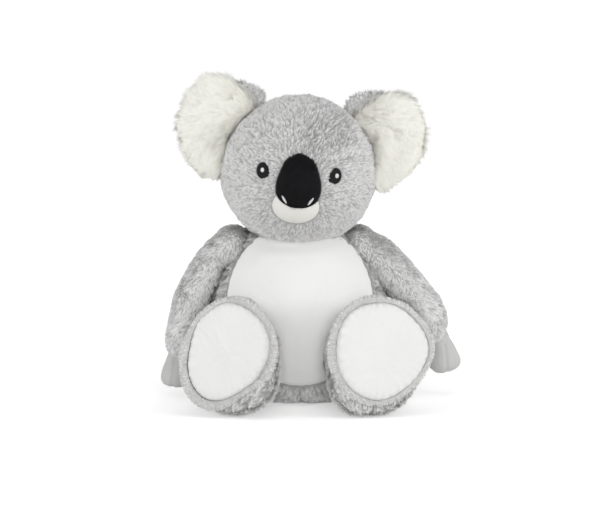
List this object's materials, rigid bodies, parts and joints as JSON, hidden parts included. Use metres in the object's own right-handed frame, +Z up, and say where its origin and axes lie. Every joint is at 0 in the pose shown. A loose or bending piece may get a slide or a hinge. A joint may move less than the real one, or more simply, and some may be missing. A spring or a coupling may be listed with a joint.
{
  "type": "plush koala",
  "caption": "Seated stuffed toy koala with round fluffy ears, a padded oval nose, a smooth pale belly panel, mitten hands and forward-facing flat soles",
  "frame": {"origin": "on the floor, under the middle of the seat", "axes": "+Z up, the koala faces -Y, its own left side is +X"},
  "size_m": [0.2848, 0.2011, 0.306],
  "materials": {
    "grey_plush": "matte",
    "white_panel": "matte",
    "white_plush": "matte",
    "grey_velour": "matte",
    "cream_velour": "matte",
    "black_velour": "matte",
    "black_thread": "satin",
    "white_thread": "satin",
    "liner_cloth": "matte"
  },
  "bodies": {
    "torso_link": {"body": "grey_plush", "belly_panel": "white_panel", "base_panel": "liner_cloth", "pellet_bag": "liner_cloth"},
    "head_link": {"head": "grey_plush", "nose": "black_velour", "chin": "cream_velour", "eye_right": "black_thread", "eye_glint_right": "white_thread", "nostril_right": "white_thread", "eye_left": "black_thread", "eye_glint_left": "white_thread", "nostril_left": "white_thread"},
    "ear_right_link": {"ear_back_right": "grey_plush", "ear_lining_right": "white_plush"},
    "arm_right_link": {"arm_right": "grey_plush", "hand_right": "grey_velour"},
    "leg_right_link": {"leg_right": "grey_plush", "sole_right": "white_panel", "foot_rim_right": "grey_plush"},
    "ear_left_link": {"ear_back_left": "grey_plush", "ear_lining_left": "white_plush"},
    "arm_left_link": {"arm_left": "grey_plush", "hand_left": "grey_velour"},
    "leg_left_link": {"leg_left": "grey_plush", "sole_left": "white_panel", "foot_rim_left": "grey_plush"}
  },
  "joints": [
    {"name": "head_turn", "type": "hinge", "parent": "torso_link", "child": "head_link", "pos_m": [-0.001, -0.004, 0.2155], "axis": [0, 0, 1], "range_deg": [-30, 30], "stiffness_Nm_per_rad": 0.25},
    {"name": "ear_right_fold", "type": "hinge", "parent": "head_link", "child": "ear_right_link", "pos_m": [-0.06218, 0, 0.24903], "axis": [-0.4806, 0, -0.8769], "range_deg": [-20, 40], "stiffness_Nm_per_rad": 0.03},
    {"name": "arm_right_raise", "type": "hinge", "parent": "torso_link", "child": "arm_right_link", "pos_m": [-0.063, 0.002, 0.143], "axis": [0, 1, 0], "range_deg": [0, 75], "stiffness_Nm_per_rad": 0.05},
    {"name": "leg_right_splay", "type": "hinge", "parent": "torso_link", "child": "leg_right_link", "pos_m": [-0.05, -0.04, 0.046], "axis": [0, 0, -1], "range_deg": [0, 25], "stiffness_Nm_per_rad": 0.12},
    {"name": "ear_left_fold", "type": "hinge", "parent": "head_link", "child": "ear_left_link", "pos_m": [0.06467, 0, 0.23905], "axis": [-0.3376, 0, 0.9413], "range_deg": [-20, 40], "stiffness_Nm_per_rad": 0.03},
    {"name": "arm_left_raise", "type": "hinge", "parent": "torso_link", "child": "arm_left_link", "pos_m": [0.058, 0.002, 0.143], "axis": [0, -1, 0], "range_deg": [0, 75], "stiffness_Nm_per_rad": 0.05},
    {"name": "leg_left_splay", "type": "hinge", "parent": "torso_link", "child": "leg_left_link", "pos_m": [0.05, -0.04, 0.046], "axis": [0, 0, 1], "range_deg": [0, 25], "stiffness_Nm_per_rad": 0.12}
  ]
}
